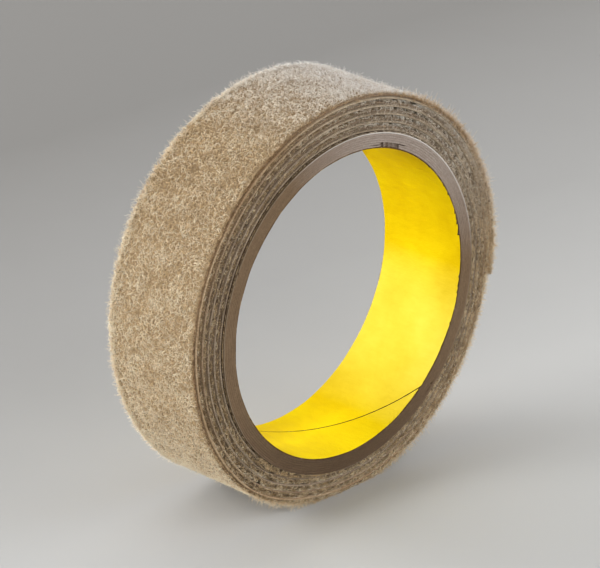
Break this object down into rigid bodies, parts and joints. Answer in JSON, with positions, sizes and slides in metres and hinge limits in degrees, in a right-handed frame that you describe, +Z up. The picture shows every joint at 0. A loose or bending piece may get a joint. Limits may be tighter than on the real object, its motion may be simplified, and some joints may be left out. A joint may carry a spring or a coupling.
{
  "type": "hook and loop tape roll",
  "caption": "Roll of tan loop fastener tape wound pile outwards on a paperboard core lined with yellow paper; its free end peels up and bends back.",
  "frame": {"origin": "on the surface the roll stands on, under the core's axis and midway across the tape", "axes": "+Z up; +Y along the core's axis, from the front face, where the core stands proud, to the back; +X to the right as seen from the front, the side where the tape's free end lies"},
  "size_m": [0.1019, 0.0285, 0.0998],
  "materials": {
    "yellow_paper": "satin",
    "core_board": "matte",
    "outer_ply": "matte",
    "adhesive": "satin",
    "woven_base": "matte",
    "loop_pile": "matte"
  },
  "bodies": {
    "roll": {"core_liner_paper": "yellow_paper", "core_board_ply_1": "core_board", "core_board_ply_2": "core_board", "core_board_ply_3": "core_board", "core_board_ply_4": "core_board", "core_board_ply_5": "core_board", "core_board_ply_6": "core_board", "core_outer_ply": "outer_ply", "start_adhesive_strip": "adhesive", "tape_base_winding": "woven_base", "loop_pile_winding": "loop_pile"},
    "tail_1": {"tail_base_1": "woven_base", "tail_pile_1": "loop_pile"},
    "tail_2": {"tail_base_2": "woven_base", "tail_pile_2": "loop_pile"},
    "tail_3": {"tail_base_3": "woven_base", "tail_pile_3": "loop_pile"},
    "tail_4": {"tail_base_4": "woven_base", "tail_pile_4": "loop_pile"}
  },
  "joints": [
    {"name": "peel_1", "type": "hinge", "parent": "roll", "child": "tail_1", "pos_m": [0.03073, 0, 0.08752], "axis": [0, -1, 0], "range_deg": [0, 30]},
    {"name": "peel_2", "type": "hinge", "parent": "tail_1", "child": "tail_2", "pos_m": [0.03973, 0, 0.07813], "axis": [0, -1, 0], "range_deg": [0, 30]},
    {"name": "peel_3", "type": "hinge", "parent": "tail_2", "child": "tail_3", "pos_m": [0.04597, 0, 0.06676], "axis": [0, -1, 0], "range_deg": [0, 30]},
    {"name": "peel_4", "type": "hinge", "parent": "tail_3", "child": "tail_4", "pos_m": [0.04906, 0, 0.05421], "axis": [0, -1, 0], "range_deg": [0, 30]}
  ],
  "couplings": [
    {"joint": "peel_2", "follows": "peel_1", "ratio": 1},
    {"joint": "peel_3", "follows": "peel_1", "ratio": 1},
    {"joint": "peel_4", "follows": "peel_1", "ratio": 1}
  ]
}
